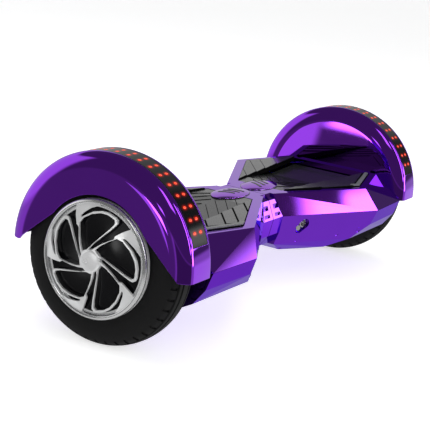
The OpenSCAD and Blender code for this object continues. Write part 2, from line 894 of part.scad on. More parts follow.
module charge_socket() color("silver") {
    at_port() rotate([0, 0, port_tilt]) translate([port_pitch / 2, 0, 0]) difference() {
        union() {
            translate([0, 0, -socket_length])
                cylinder(h = socket_length - 3.5, r = port_r + 1.3 - running);
            translate([0, 0, -pocket_depth + running]) cylinder(h = 1.8, r = port_r + 1.9);
        }
        translate([0, 0, -socket_length + 2]) cylinder(h = 20, r = port_r);
    }
}

module power_button() color("silver") {
    at_port() rotate([0, 0, port_tilt]) translate([-port_pitch / 2, 0, 0]) union() {
        translate([0, 0, -13]) cylinder(h = button_face + 13, r = button_r);
        translate([0, 0, -pocket_depth - pocket_floor - 2.5]) cylinder(h = 1.5, r = button_r + 1.2);
    }
}

// Cables, each along its own route

cable_r = 3;
lead_r = 2;
lead_gap = 0.8;
plug_z = board_top - 6;

module link_connector() color("ivory") {
    translate([harness_hole_x - 2, -12, plate_top + seat]) cube([14, 24, 9]);
}

module link_cable() color("#26262a") {
    hole = -harness_hole_x;
    cable(concat(
        [[harness_hole_x - 2 - seat, 0, axle_z]],
        [for (x = [50:-10:-50]) [x, 0, axle_z]],
        bend([-54, 0, axle_z], [hole, 0, axle_z], [hole, 0, axle_z - 9], 6),
        bend([hole, 0, axle_z - 12], [hole, 0, plug_z], [-board_plug_in + seat, 0, plug_z], 6)
    ), cable_r);
}

module left_motor_cable() color("#26262a") on_left() {
    hole = motor_hole_x;
    cable(concat(
        bend([axle_start - seat, 0, axle_z], [hole, 0, axle_z], [hole, 0, axle_z - 9], 6),
        bend([hole, 0, axle_z - 12], [hole, 0, plug_z], [board_plug_out + seat, 0, plug_z], 6)
    ), cable_r);
}

module right_motor_cable() color("#26262a") {
    start = [harness_hole_x + 12 + seat, 8.5, axle_z + 1.5];
    turn = [axle_start - 26, 12, axle_z + 1.5];
    cable(concat(
        [for (t = [0:0.125:0.875]) start + (turn - start) * t],
        bend(turn, [axle_start - 12, 12, axle_z], [axle_start - seat, 0, axle_z], 8)
    ), cable_r);
}

module charge_lead() color("#26262a") {
    finish = [battery_start - lead_gap, -28, socket_rear[2] - 8];
    bow = socket_rear + [-3, 16, -5];
    cable(bend(socket_rear - port_out * lead_gap, bow, finish, 10), lead_r);
}

// Named parts of each half

module left_axle_clamp() on_left() axle_clamp();
module right_axle_clamp() axle_clamp();
module left_clamp_bolts() on_left() clamp_bolts();
module right_clamp_bolts() clamp_bolts();
module left_axle() on_left() axle();
module right_axle() axle();
module left_stator() on_left() stator();
module right_stator() stator();
module left_magnets() on_left() magnets();
module right_magnets() magnets();
module left_rim() on_left() rim();
module right_rim() rim();
module left_wheel_bearings() on_left() wheel_bearings();
module right_wheel_bearings() wheel_bearings();
module left_tyre() on_left() tyre();
module right_tyre() tyre();
module left_hub_inlay() on_left() hub_inlay();
module right_hub_inlay() hub_inlay();
module left_hub_trim() on_left() hub_trim();
module right_hub_trim() hub_trim();
module left_fender() on_left() fender();
module right_fender() fender();
module left_light_strip() on_left() light_strip();
module right_light_strip() light_strip();
module left_lights() on_left() lights();
module right_lights() lights();
module left_top_shell() on_left() top_shell();
module right_top_shell() top_shell();
module left_bottom_shell() on_left() bottom_shell();
module right_bottom_shell() right_bottom_shell_with_pocket();
module left_toe_pad() on_left() heel_or_toe_pad();
module right_toe_pad() heel_or_toe_pad();
module left_heel_pad() on_left() mirror([0, 1, 0]) heel_or_toe_pad();
module right_heel_pad() mirror([0, 1, 0]) heel_or_toe_pad();
module left_deck_tray() on_left() deck_tray();
module right_deck_tray() deck_tray();
module left_leaf_cover() on_left() leaf_cover();
module right_leaf_cover() leaf_cover();
module left_leaf_inserts() on_left() leaf_inserts();
module right_leaf_inserts() leaf_inserts();
module left_sensor_board() on_left() sensor_board();
module right_sensor_board() sensor_board();
module left_case_screws() on_left() case_screws();
module right_case_screws() case_screws();

left_frame();
right_frame();
left_axle_clamp();
right_axle_clamp();
left_clamp_bolts();
right_clamp_bolts();
left_axle();
right_axle();
left_stator();
right_stator();
left_magnets();
right_magnets();
left_rim();
right_rim();
left_wheel_bearings();
right_wheel_bearings();
left_tyre();
right_tyre();
left_hub_inlay();
right_hub_inlay();
left_hub_trim();
right_hub_trim();
left_fender();
right_fender();
left_light_strip();
right_light_strip();
left_lights();
right_lights();
left_top_shell();
right_top_shell();
left_bottom_shell();
right_bottom_shell();
left_toe_pad();
right_toe_pad();
left_heel_pad();
right_heel_pad();
left_deck_tray();
right_deck_tray();
left_leaf_cover();
right_leaf_cover();
left_leaf_inserts();
right_leaf_inserts();
left_sensor_board();
right_sensor_board();
left_case_screws();
right_case_screws();
pivot_tube();
pivot_bushes();
pivot_clip();
twist_stop_pin();
main_board();
battery_pack();
battery_bracket();
charge_socket();
power_button();
link_cable();
left_motor_cable();
right_motor_cable();
charge_lead();
link_connector();
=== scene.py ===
# %% [markdown]
# # A two wheeled balancing board, dressed for its portrait
# The board is a pair of plated plastic halves joined by a twisting waist. Each half ends in a hub motor
# wheel under a round fender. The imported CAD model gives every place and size. This lesson keeps that frame
# still and builds the surfaces that the eye sees: smooth fenders, alloy wheel faces, ribbed tyres and
# slatted foot pads.

# %% Load the frame
import math
import bmesh
import bpy
from mathutils import Matrix, Vector


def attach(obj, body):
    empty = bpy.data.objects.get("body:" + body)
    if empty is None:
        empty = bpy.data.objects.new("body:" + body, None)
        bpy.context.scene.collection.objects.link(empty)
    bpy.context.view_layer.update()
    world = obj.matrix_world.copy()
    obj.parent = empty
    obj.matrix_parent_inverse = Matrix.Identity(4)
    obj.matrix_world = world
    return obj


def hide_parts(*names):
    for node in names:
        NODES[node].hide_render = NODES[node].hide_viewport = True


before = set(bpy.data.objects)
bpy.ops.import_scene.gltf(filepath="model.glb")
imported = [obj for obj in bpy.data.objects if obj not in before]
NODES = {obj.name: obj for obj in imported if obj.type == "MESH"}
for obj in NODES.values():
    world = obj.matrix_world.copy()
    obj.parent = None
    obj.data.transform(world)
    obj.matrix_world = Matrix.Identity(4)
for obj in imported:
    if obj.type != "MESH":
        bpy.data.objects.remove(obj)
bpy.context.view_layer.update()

# %% [markdown]
# ## Camera
# The board is seen from behind and from the left, with the near wheel large and the far wheel small. The
# camera is a long portrait lens about 1.6 m away. It is rolled by a few degrees, so the axle climbs to the
# right. A matrix made of the three camera directions places it in one step, and nothing about the lens is
# shifted.

# %% Camera
RIGHT = Vector((0.489256, -0.864059, 0.118451))
UP = Vector((0.151563, 0.217987, 0.964111))
BACK = Vector((-0.858869, -0.453745, 0.237611))
PLACE = (-1.38483, -0.69253, 0.47103)
LENS = 102.5
camera_data = bpy.data.cameras.new("portrait_camera")
camera_data.lens = LENS
camera_data.sensor_width = 36
camera = bpy.data.objects.new("portrait_camera", camera_data)
bpy.context.scene.collection.objects.link(camera)
turn = Matrix((RIGHT, UP, BACK)).transposed().to_4x4()
camera.matrix_world = Matrix.Translation(PLACE) @ turn
camera_data.clip_end = 50
bpy.context.scene.camera = camera
bpy.context.scene.view_settings.view_transform = "Standard"
print("camera at", [round(v, 3) for v in camera.location], "lens", camera_data.lens)

# %% [markdown]
# ## Studio
# A mirror shows the room it stands in, so the room is designed before the board is painted. The world is a
# small set of soft patches on a sphere: a pale floor, a white wall behind the board, a dark ceiling, and a
# few bright panels. Each patch is a smooth box in azimuth and elevation. The narrow bright ones lie where
# the plating mirrors them towards the main camera, so the light bands belong to this studio and show only
# near the main view. Rays that come straight from the camera see plain white instead, as a seamless paper
# backdrop would look.

# %% Helpers for node trees
def link(tree, source, target):
    tree.links.new(source, target)


def math_node(tree, operation, first, second=None, third=None, clamp=False):
    node = tree.nodes.new("ShaderNodeMath")
    node.operation = operation
    node.use_clamp = clamp
    for socket, value in zip(node.inputs, (first, second, third)):
        if value is None:
            continue
        if isinstance(value, (int, float)):
            socket.default_value = value
        else:
            link(tree, value, socket)
    return node.outputs[0]


def smooth(tree, value, low, high, out_low=0.0, out_high=1.0):
    node = tree.nodes.new("ShaderNodeMapRange")
    node.interpolation_type = "SMOOTHSTEP"
    link(tree, value, node.inputs["Value"])
    node.inputs["From Min"].default_value = low
    node.inputs["From Max"].default_value = high
    node.inputs["To Min"].default_value = out_low
    node.inputs["To Max"].default_value = out_high
    return node.outputs["Result"]


def mix_colours(tree, factor, first, second, blend="MIX"):
    node = tree.nodes.new("ShaderNodeMix")
    node.data_type = "RGBA"
    node.blend_type = blend
    for socket, value in ((node.inputs["Factor"], factor), (node.inputs["A"], first),
                          (node.inputs["B"], second)):
        if isinstance(value, (int, float)):
            socket.default_value = value
        elif isinstance(value, (tuple, list)):
            socket.default_value = (*value[:3], 1.0)
        else:
            link(tree, value, socket)
    return node.outputs["Result"]


print("node helpers ready")

# %% Studio sphere
world = bpy.data.worlds.new("studio")
bpy.context.scene.world = world
world.use_nodes = True
tree = world.node_tree
tree.nodes.clear()
where = tree.nodes.new("ShaderNodeTexCoord")
split = tree.nodes.new("ShaderNodeSeparateXYZ")
link(tree, where.outputs["Generated"], split.inputs[0])
azimuth = math_node(tree, "ARCTAN2", split.outputs["Y"], split.outputs["X"])
azimuth = math_node(tree, "MULTIPLY", azimuth, 180 / math.pi)
elevation = math_node(tree, "ARCSINE", split.outputs["Z"])
elevation = math_node(tree, "MULTIPLY", elevation, 180 / math.pi)


def patch(az, el, edge_az=3.0, edge_el=3.0):
    """A soft box on the sphere: azimuth from +X towards +Y, then elevation, in degrees."""
    middle = (az[0] + az[1]) / 2
    offset = math_node(tree, "WRAP", math_node(tree, "SUBTRACT", azimuth, middle), 180, -180)
    side = smooth(tree, math_node(tree, "ABSOLUTE", offset), (az[1] - az[0]) / 2 - edge_az / 2,
                  (az[1] - az[0]) / 2 + edge_az / 2, 1, 0)
    low = smooth(tree, elevation, el[0] - edge_el / 2, el[0] + edge_el / 2)
    high = smooth(tree, elevation, el[1] - edge_el / 2, el[1] + edge_el / 2, 1, 0)
    return math_node(tree, "MULTIPLY", math_node(tree, "MULTIPLY", side, low), high)


ROOM_LEVEL = 0.13  # brightness of the dark room between the patches
PATCHES = [
    # azimuth span, elevation span, soft edges, brightness to reach
    ((-180, 180), (-91, -1), 2, 3, 0.62),
    ((-8, 128), (-4, 34), 8, 6, 0.76),
    ((64, 128), (-4, 34), 12, 6, 1.05),
    ((128, 176), (-40, 2), 10, 6, 0.19),
    ((151.6, 156.1), (-14, -4), 0.8, 1.0, 1.15),
    ((-180, -88), (-20, -1), 6, 3, 0.10),
    ((-52, -24), (4, 14), 4, 2, 4.2),
    ((172.5, 177), (6.5, 10.5), 2, 1.5, 2.6),
    ((-52, -8), (-22, -6), 4, 3, 1.05),
    ((-92, -85), (8, 52), 2, 4, 6.0),
    ((-66, -61), (14, 46), 2, 3, 5.0),
    ((-74.0, -56), (-3, 5), 1.6, 2, 8.0),
    ((-69.9, -56), (4, 10.2), 0.8, 1, 8.0),
    ((156.8, 165), (-7.5, -3), 2, 0.8, 6.0),
    ((-146, -128), (38, 62), 3, 4, 2.6),
]
level = math_node(tree, "ADD", ROOM_LEVEL, 0.0)
for az, el, edge_az, edge_el, bright in PATCHES:
    mask = patch(az, el, edge_az, edge_el)
    gap = math_node(tree, "SUBTRACT", bright, level)
    level = math_node(tree, "ADD", level, math_node(tree, "MULTIPLY", mask, gap))
seen = tree.nodes.new("ShaderNodeLightPath")
backdrop = tree.nodes.new("ShaderNodeBackground")
backdrop.inputs["Strength"].default_value = 1.0
backdrop.inputs["Color"].default_value = (1, 1, 1, 1)
room = tree.nodes.new("ShaderNodeBackground")
link(tree, level, room.inputs["Strength"])
choose = tree.nodes.new("ShaderNodeMixShader")
link(tree, seen.outputs["Is Camera Ray"], choose.inputs[0])
link(tree, room.outputs[0], choose.inputs[1])
link(tree, backdrop.outputs[0], choose.inputs[2])
out = tree.nodes.new("ShaderNodeOutputWorld")
link(tree, choose.outputs[0], out.inputs["Surface"])
print("studio patches", len(PATCHES))

# %% Floor and lamps
FLOOR_GLOW = 0.66
floor_mesh = bpy.data.meshes.new("studio_floor")
bm = bmesh.new()
bmesh.ops.create_grid(bm, x_segments=1, y_segments=1, size=12)
bm.to_mesh(floor_mesh)
bm.free()
floor = bpy.data.objects.new("studio_floor", floor_mesh)
bpy.context.scene.collection.objects.link(floor)
floor.visible_glossy = False
paper = bpy.data.materials.new("white_paper")
paper.use_nodes = True
paper_shader = paper.node_tree.nodes["Principled BSDF"]
paper_shader.inputs["Base Color"].default_value = (0.86, 0.86, 0.87, 1)
paper_shader.inputs["Roughness"].default_value = 0.9
paper_shader.inputs["Specular IOR Level"].default_value = 0.1
paper_shader.inputs["Emission Color"].default_value = (1, 1, 1, 1)
paper_shader.inputs["Emission Strength"].default_value = FLOOR_GLOW
floor_mesh.materials.append(paper)


def soft_lamp(name, place, aim, size, watts):
    data = bpy.data.lights.new(name, "AREA")
    data.size = size
    data.energy = watts
    lamp = bpy.data.objects.new(name, data)
    lamp.location = place
    lamp.rotation_euler = (Vector(aim) - Vector(place)).to_track_quat("-Z", "Y").to_euler()
    lamp.visible_glossy = False
    bpy.context.scene.collection.objects.link(lamp)


soft_lamp("overhead_softbox", (0.2, 0.2, 2.4), (0, 0, 0), 2.6, 26)
soft_lamp("left_softbox", (-2.4, -1.2, 1.6), (-0.2, 0, 0.1), 1.6, 16)
print("floor and", len(bpy.data.lights), "lamps")

# %% [markdown]
# ## Finishes
# The plating is a mirror under a thin violet lacquer: a metallic surface with a purple base colour, and a
# clear coat that puts a whiter glint on top. A real moulding is never optically flat, so a very weak, large
# noise bends the reflections a little, and a fine one leaves faint haze. Both live in one node group that
# every plated piece shares.

# %% Shared surface groups
def new_group(name, inputs, outputs):
    group = bpy.data.node_groups.new(name, "ShaderNodeTree")
    for label, kind, value in inputs:
        socket = group.interface.new_socket(label, in_out="INPUT", socket_type=kind)
        socket.default_value = value
    for label, kind in outputs:
        group.interface.new_socket(label, in_out="OUTPUT", socket_type=kind)
    return group, group.nodes.new("NodeGroupInput"), group.nodes.new("NodeGroupOutput")


def noise(tree, scale, detail=2.0, roughness=0.5):
    node = tree.nodes.new("ShaderNodeTexNoise")
    node.inputs["Scale"].default_value = scale
    node.inputs["Detail"].default_value = detail
    node.inputs["Roughness"].default_value = roughness
    coordinates = tree.nodes.new("ShaderNodeTexCoord")
    link(tree, coordinates.outputs["Object"], node.inputs["Vector"])
    return node.outputs["Fac"]


ripple_group, g_in, g_out = new_group("moulded_ripple", [("Scale", "NodeSocketFloat", 14.0),
                                                         ("Wave", "NodeSocketFloat", 0.02),
                                                         ("Haze", "NodeSocketFloat", 0.03)],
                                      [("Normal", "NodeSocketVector"), ("Roughness", "NodeSocketFloat")])
wave = noise(ripple_group, 14, 1.0)
link(ripple_group, g_in.outputs["Scale"], ripple_group.nodes["Noise Texture"].inputs["Scale"])
wave_bump = ripple_group.nodes.new("ShaderNodeBump")
wave_bump.inputs["Distance"].default_value = 0.001
link(ripple_group, g_in.outputs["Wave"], wave_bump.inputs["Strength"])
link(ripple_group, wave, wave_bump.inputs["Height"])
haze = math_node(ripple_group, "MULTIPLY", noise(ripple_group, 60, 4.0, 0.6), g_in.outputs["Haze"])
link(ripple_group, wave_bump.outputs["Normal"], g_out.inputs["Normal"])
link(ripple_group, haze, g_out.inputs["Roughness"])

grain_group, g_in, g_out = new_group(
    "moulded_grain",
    [("Scale", "NodeSocketFloat", 900.0), ("Depth", "NodeSocketFloat", 0.2), ("Base", "NodeSocketFloat", 0.4),
     ("Spread", "NodeSocketFloat", 0.15)],
    [("Normal", "NodeSocketVector"), ("Roughness", "NodeSocketFloat"), ("Mask", "NodeSocketFloat")])
pebble = noise(grain_group, 900, 2.0, 0.6)
link(grain_group, g_in.outputs["Scale"], grain_group.nodes["Noise Texture"].inputs["Scale"])
grain_bump = grain_group.nodes.new("ShaderNodeBump")
grain_bump.inputs["Distance"].default_value = 0.0004
link(grain_group, g_in.outputs["Depth"], grain_bump.inputs["Strength"])
link(grain_group, pebble, grain_bump.inputs["Height"])
patchy = noise(grain_group, 35, 3.0, 0.55)
spread = math_node(grain_group, "MULTIPLY_ADD", patchy, g_in.outputs["Spread"], g_in.outputs["Base"])
link(grain_group, grain_bump.outputs["Normal"], g_out.inputs["Normal"])
link(grain_group, spread, g_out.inputs["Roughness"])
link(grain_group, patchy, g_out.inputs["Mask"])
print("groups", ripple_group.name, grain_group.name)

# %% Material makers
def principled(name, colour, metallic=0.0, roughness=0.5, coat=0.0, specular=0.5):
    material = bpy.data.materials.new(name)
    material.use_nodes = True
    shader = material.node_tree.nodes["Principled BSDF"]
    shader.inputs["Base Color"].default_value = (*colour, 1)
    shader.inputs["Metallic"].default_value = metallic
    shader.inputs["Roughness"].default_value = roughness
    shader.inputs["Coat Weight"].default_value = coat
    shader.inputs["Coat Roughness"].default_value = 0.03
    shader.inputs["Specular IOR Level"].default_value = specular
    return material, material.node_tree, shader


def place_group(tree, group, **values):
    node = tree.nodes.new("ShaderNodeGroup")
    node.node_tree = group
    for label, value in values.items():
        node.inputs[label].default_value = value
    return node


def plated(name, colour, scale=14.0, wave=0.02, haze=0.05, coat=0.5, tint=(0.85, 0.75, 0.95)):
    material, tree, shader = principled(name, colour, 1.0, 0.03, coat=coat)
    shader.inputs["Specular Tint"].default_value = (*tint, 1)
    ripple = place_group(tree, ripple_group, Scale=scale, Wave=wave, Haze=haze)
    link(tree, ripple.outputs["Normal"], shader.inputs["Normal"])
    link(tree, ripple.outputs["Roughness"], shader.inputs["Roughness"])
    cloud = noise(tree, 9, 2.0)
    deeper = tuple(c * 0.86 for c in colour)
    link(tree, mix_colours(tree, cloud, deeper, colour), shader.inputs["Base Color"])
    return material


def grained(name, colour, base, spread, scale, depth, specular=0.5, coat=0.0, shade=0.7):
    material, tree, shader = principled(name, colour, 0.0, base, coat, specular)
    grain = place_group(tree, grain_group, Scale=scale, Depth=depth, Base=base, Spread=spread)
    link(tree, grain.outputs["Normal"], shader.inputs["Normal"])
    link(tree, grain.outputs["Roughness"], shader.inputs["Roughness"])
    darker = tuple(c * shade for c in colour)
    link(tree, mix_colours(tree, grain.outputs["Mask"], darker, colour), shader.inputs["Base Color"])
    return material


def brushed(name, colour, roughness=0.3, scale=400.0, depth=0.25, metallic=1.0):
    material, tree, shader = principled(name, colour, metallic, roughness)
    grain = place_group(tree, grain_group, Scale=scale, Depth=depth, Base=roughness - 0.06, Spread=0.12)
    link(tree, grain.outputs["Normal"], shader.inputs["Normal"])
    link(tree, grain.outputs["Roughness"], shader.inputs["Roughness"])
    return material


VIOLET = (0.35, 0.038, 0.96)
violet_plate = plated("violet_plate", VIOLET)
violet_lower = plated("violet_lower_plate", (0.29, 0.045, 0.99), 10, 0.05, 0.10, 0.15, (0.55, 0.4, 1.0))
violet_leaf = plated("violet_leaf_plate", (0.44, 0.12, 0.92), 20, 0.02, 0.06)
gloss_black = grained("gloss_black", (0.012, 0.012, 0.014), 0.06, 0.06, 300, 0.03, coat=0.4)
pad_grey = grained("pad_satin_black", (0.030, 0.031, 0.032), 0.16, 0.12, 700, 0.10, coat=0.25)
# Near-black rubber with almost no sheen, for the pad walls, the slat sides and the channel ribs. It is partly
# the rubber's own colour and partly painted shade: its extra darkness stands for the shade on the pad walls
# and in the grooves between slats.
pad_black_and_shade = grained("pad_matte_black", (0.006, 0.006, 0.006), 0.8, 0.1, 700, 0.1, specular=0.02)
insert_grey = grained("insert_grey", (0.10, 0.10, 0.105), 0.25, 0.1, 500, 0.1)
tyre_rubber = grained("tyre_rubber", (0.008, 0.008, 0.0085), 0.55, 0.2, 1100, 0.5, specular=0.25)
hub_black = grained("hub_gloss_black", (0.004, 0.004, 0.005), 0.14, 0.08, 200, 0.02, specular=0.3)
hub_silver = brushed("turned_alloy", (0.95, 0.955, 0.96), 0.25, 260, 0.06, 0.5)
ring_silver = brushed("polished_ring", (0.92, 0.925, 0.93), 0.24, 120, 0.01, 0.93)
cast_alloy = brushed("cast_alloy", (0.62, 0.63, 0.65), 0.42, 500, 0.5)
steel = brushed("zinc_steel", (0.48, 0.49, 0.51), 0.3, 600, 0.2)
bronze = brushed("sintered_bronze", (0.55, 0.36, 0.16), 0.4, 900, 0.5)
copper = brushed("varnished_copper", (0.72, 0.32, 0.13), 0.3, 300, 0.4)
nickel = brushed("nickel", (0.55, 0.54, 0.56), 0.15, 300, 0.05)
board_green = grained("solder_mask", (0.01, 0.10, 0.045), 0.25, 0.1, 300, 0.1)
wrap_blue = grained("shrink_wrap", (0.02, 0.07, 0.35), 0.25, 0.2, 60, 0.5)
sleeve = grained("cable_sleeve", (0.02, 0.02, 0.02), 0.5, 0.2, 600, 0.3)
nylon = grained("nylon", (0.72, 0.70, 0.62), 0.4, 0.2, 400, 0.2)
print("materials", len(bpy.data.materials))

# %% Materials for the carried-over nodes
PAINT = {
    "frame": cast_alloy, "axle_clamp": steel, "clamp_bolts": steel, "axle": steel, "stator": copper,
    "magnets": steel, "rim": hub_silver, "wheel_bearings": steel, "tyre": tyre_rubber,
    "hub_inlay": hub_black, "hub_trim": hub_silver, "fender": violet_plate, "light_strip": gloss_black,
    # The toe and heel pad walls take the sheenless black, which is partly painted shade.
    "lights": steel, "top_shell": violet_plate, "bottom_shell": violet_lower, "toe_pad": pad_black_and_shade,
    "heel_pad": pad_black_and_shade, "deck_tray": pad_grey, "leaf_cover": violet_leaf, "leaf_inserts": insert_grey,
    "sensor_board": board_green, "case_screws": steel, "pivot_tube": steel, "pivot_bushes": bronze,
    "pivot_clip": steel, "twist_stop_pin": steel, "main_board": board_green, "battery_pack": wrap_blue,
    "battery_bracket": steel, "charge_socket": nickel, "power_button": nickel, "link_cable": sleeve,
    "motor_cable": sleeve, "charge_lead": sleeve, "link_connector": nylon,
}
for name, node in NODES.items():
    short = name.replace("left_", "").replace("right_", "")
    node.data.materials.clear()
    node.data.materials.append(PAINT[short])
print("painted", len(NODES), "nodes")

# %% [markdown]
# ## How the new pieces are made
# Everything is drawn for the half on the +X side and mirrored for the other half, because the two halves of
# the board are mirror images. A small finishing helper merges doubles, sets which edges stay sharp, mirrors
# if asked, and hands the mesh to its CAD body. Fine rounding is left to a Bevel modifier, so the mesh
# itself stays light.

# %% Finishing helper
SIDES = {"left": -1, "right": 1}
AXLE = Vector((0, 0, 0.1))
WHEEL = 0.3055


def finish_mesh(name, bm, side, body, material, nodes=(), sharp=32, bevel=0.0, shell=0.0,
                segments=2):
    bmesh.ops.remove_doubles(bm, verts=bm.verts, dist=2e-6)
    if side < 0:
        bmesh.ops.scale(bm, vec=(-1, 1, 1), verts=bm.verts)
    bmesh.ops.recalc_face_normals(bm, faces=bm.faces)
    for edge in bm.edges:
        edge.smooth = len(edge.link_faces) == 2 and edge.calc_face_angle(0) < math.radians(sharp)
    for face in bm.faces:
        face.smooth = True
    mesh = bpy.data.meshes.new(name)
    bm.to_mesh(mesh)
    bm.free()
    for entry in (material if isinstance(material, (list, tuple)) else [material]):
        mesh.materials.append(entry)
    piece = bpy.data.objects.new(name, mesh)
    bpy.context.scene.collection.objects.link(piece)
    if shell:
        wall = piece.modifiers.new("wall", "SOLIDIFY")
        wall.thickness = shell
        wall.offset = -1
        wall.use_even_offset = True
    if bevel:
        edge_round = piece.modifiers.new("edge_round", "BEVEL")
        edge_round.width = bevel
        edge_round.segments = segments
        edge_round.limit_method = "ANGLE"
        edge_round.angle_limit = math.radians(sharp)
        edge_round.harden_normals = True
    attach(piece, body)
    if nodes:
        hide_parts(*nodes)
    return piece


def profile_spin(bm, points, start, sweep, steps, full=False):
    """Turns (offset from the wheel's middle, radius) points about the axle.

    Angles run from the top towards -Y.
    """
    verts = [bm.verts.new((WHEEL + u, 0, AXLE.z + r)) for u, r in points]
    edges = [bm.edges.new(pair) for pair in zip(verts, verts[1:])]
    bmesh.ops.rotate(bm, cent=AXLE, matrix=Matrix.Rotation(start, 3, "X"), verts=verts)
    bmesh.ops.spin(bm, geom=verts + edges, cent=AXLE, axis=(1, 0, 0), angle=sweep, steps=steps,
                   use_merge=full, use_duplicate=False)
    return bm


def angle_of(co):
    """Angle about the axle from straight up, positive towards the rear of the board."""
    return math.atan2(-co.y, co.z - AXLE.z)


def radius_of(co):
    return math.hypot(co.y, co.z - AXLE.z)


print("helpers for both sides ready")

# %% [markdown]
# ## Fender
# The fender is one moulding with a flat inner face, an elliptical shoulder, a flat crown and a second
# shoulder that ends in the wheel arch. A section spun through half a turn gives all of that with true
# smooth shoulders, which a mirror finish needs. Points that would lie inside the arch are slid along the
# section onto the arch line, and the crown gets a shallow recess for the light strip. Solidify then gives
# the wall.

# %% Fender section and arch
CROWN = 0.116
SHOULDER = 0.093
HALF = 0.0295
FLAT = 0.0156
ARCH = 0.0700
SKIRT_TOP = (0.058, 0.039)
SKIRT_END = (0.103, 0.0)


def shoulder_points(sign, count=14):
    turns = [math.pi / 2 * k / count for k in range(count + 1)]
    return [(sign * (FLAT + (HALF - FLAT) * math.cos(t)), SHOULDER + (CROWN - SHOULDER) * math.sin(t))
            for t in turns]


def outer_offset(radius):
    rise = min(1, max(0, (radius - SHOULDER) / (CROWN - SHOULDER)))
    return FLAT + (HALF - FLAT) * math.sqrt(1 - rise * rise)


def arch_radius(turn):
    turn = abs(turn)
    if turn < math.atan2(*SKIRT_TOP):
        return ARCH
    dy, dz = SKIRT_END[0] - SKIRT_TOP[0], SKIRT_END[1] - SKIRT_TOP[1]
    along = (SKIRT_TOP[1] * math.sin(turn) - SKIRT_TOP[0] * math.cos(turn))
    along /= dy * math.cos(turn) - dz * math.sin(turn)
    return math.hypot(SKIRT_TOP[0] + dy * along, SKIRT_TOP[1] + dz * along)


def build_fender(label, side):
    inner = [(-HALF, 0.014), (-HALF, 0.05)] + shoulder_points(-1)
    outer = list(reversed(shoulder_points(1))) + [(HALF, 0.081), (HALF, ARCH)]
    bm = profile_spin(bmesh.new(), inner + outer, -math.pi / 2, math.pi, 100)
    for vert in bm.verts:
        if vert.co.x > WHEEL + 0.01:
            turn, radius = angle_of(vert.co), radius_of(vert.co)
            limit = arch_radius(turn)
            if radius < limit:
                vert.co = (WHEEL + outer_offset(limit), -limit * math.sin(turn),
                           AXLE.z + limit * math.cos(turn))
        if abs(vert.co.z - AXLE.z) < 1e-5:
            vert.co.z -= 0.001
    bmesh.ops.remove_doubles(bm, verts=bm.verts, dist=1e-5)
    bmesh.ops.dissolve_degenerate(bm, edges=bm.edges, dist=1e-6)
    bmesh.ops.recalc_face_normals(bm, faces=bm.faces)
    crown = [f for f in bm.faces if abs(f.calc_center_median().x - WHEEL) < 0.01
             and radius_of(f.calc_center_median()) > 0.115
             and abs(angle_of(f.calc_center_median())) < math.radians(72.2)]
    bmesh.ops.inset_region(bm, faces=crown, thickness=0.0006, depth=-0.0016)
    return finish_mesh(f"{label}_fender_skin", bm, side, f"{label}_half", violet_plate,
                       [f"{label}_fender"], sharp=28, bevel=0.0007, shell=0.003)


for label, side in SIDES.items():
    fender = build_fender(label, side)
    print(fender.name, len(fender.data.vertices), "points")

# %% [markdown]
# ## Light strip
# The strip is a bent plate of smoked gloss plastic. Behind it sit pairs of red lamps, one pair every few
# degrees. Each lamp is a small lens, and the smoked plate round it glows a little. The glow is part of the
# plate's own material: the angle about the axle and the place along it give the distance to the nearest
# lamp.

# %% Strip and lamp materials
STEP = 7.2
strip_smoke, tree, shader = principled("strip_smoke", (0.006, 0.006, 0.007), 0.0, 0.07, coat=0.0,
                                       specular=0.09)
grain = place_group(tree, grain_group, Scale=300.0, Depth=0.02, Base=0.10, Spread=0.06)
link(tree, grain.outputs["Normal"], shader.inputs["Normal"])
link(tree, grain.outputs["Roughness"], shader.inputs["Roughness"])
spot = tree.nodes.new("ShaderNodeTexCoord")
parts = tree.nodes.new("ShaderNodeSeparateXYZ")
link(tree, spot.outputs["Object"], parts.inputs[0])
lift = math_node(tree, "SUBTRACT", parts.outputs["Z"], 0.1)
turn = math_node(tree, "MULTIPLY", math_node(tree, "ARCTAN2", parts.outputs["Y"], lift), 180 / math.pi)
near = math_node(tree, "MULTIPLY", math_node(tree, "ROUND", math_node(tree, "DIVIDE", turn, STEP)), STEP)
around = math_node(tree, "MULTIPLY", math_node(tree, "SUBTRACT", turn, near), 2.02)
middle = math_node(tree, "SUBTRACT", math_node(tree, "ABSOLUTE", parts.outputs["X"]), WHEEL)
across = math_node(tree, "MULTIPLY", math_node(tree, "SUBTRACT", math_node(tree, "ABSOLUTE", middle),
                                               0.006), 1000)
squared = math_node(tree, "ADD", math_node(tree, "MULTIPLY", math_node(tree, "POWER", around, 2), 1.6),
                    math_node(tree, "MULTIPLY", math_node(tree, "POWER", across, 2), 0.55))
glow = math_node(tree, "EXPONENT", math_node(tree, "MULTIPLY", squared, -0.16))
ends = smooth(tree, math_node(tree, "ABSOLUTE", turn), 67, 69.5, 1, 0)
glow = math_node(tree, "MULTIPLY", glow, ends)
link(tree, mix_colours(tree, glow, (0, 0, 0), (0.75, 0.012, 0.004)), shader.inputs["Emission Color"])
shader.inputs["Emission Strength"].default_value = 1.0
lamp_red, tree, shader = principled("lamp_red", (0.5, 0.02, 0.01), 0.0, 0.2)
glance = tree.nodes.new("ShaderNodeLayerWeight")
glance.inputs["Blend"].default_value = 0.5
dimmed = smooth(tree, glance.outputs["Facing"], 0.62, 0.92, 1.0, 0.2)
shader.inputs["Emission Strength"].default_value = 1.1
cloudy = noise(tree, 400, 1.0)
lit = mix_colours(tree, cloudy, (0.90, 0.03, 0.008), (0.95, 0.13, 0.04))
link(tree, mix_colours(tree, dimmed, (0, 0, 0), lit), shader.inputs["Emission Color"])
print("strip and lamp materials ready")

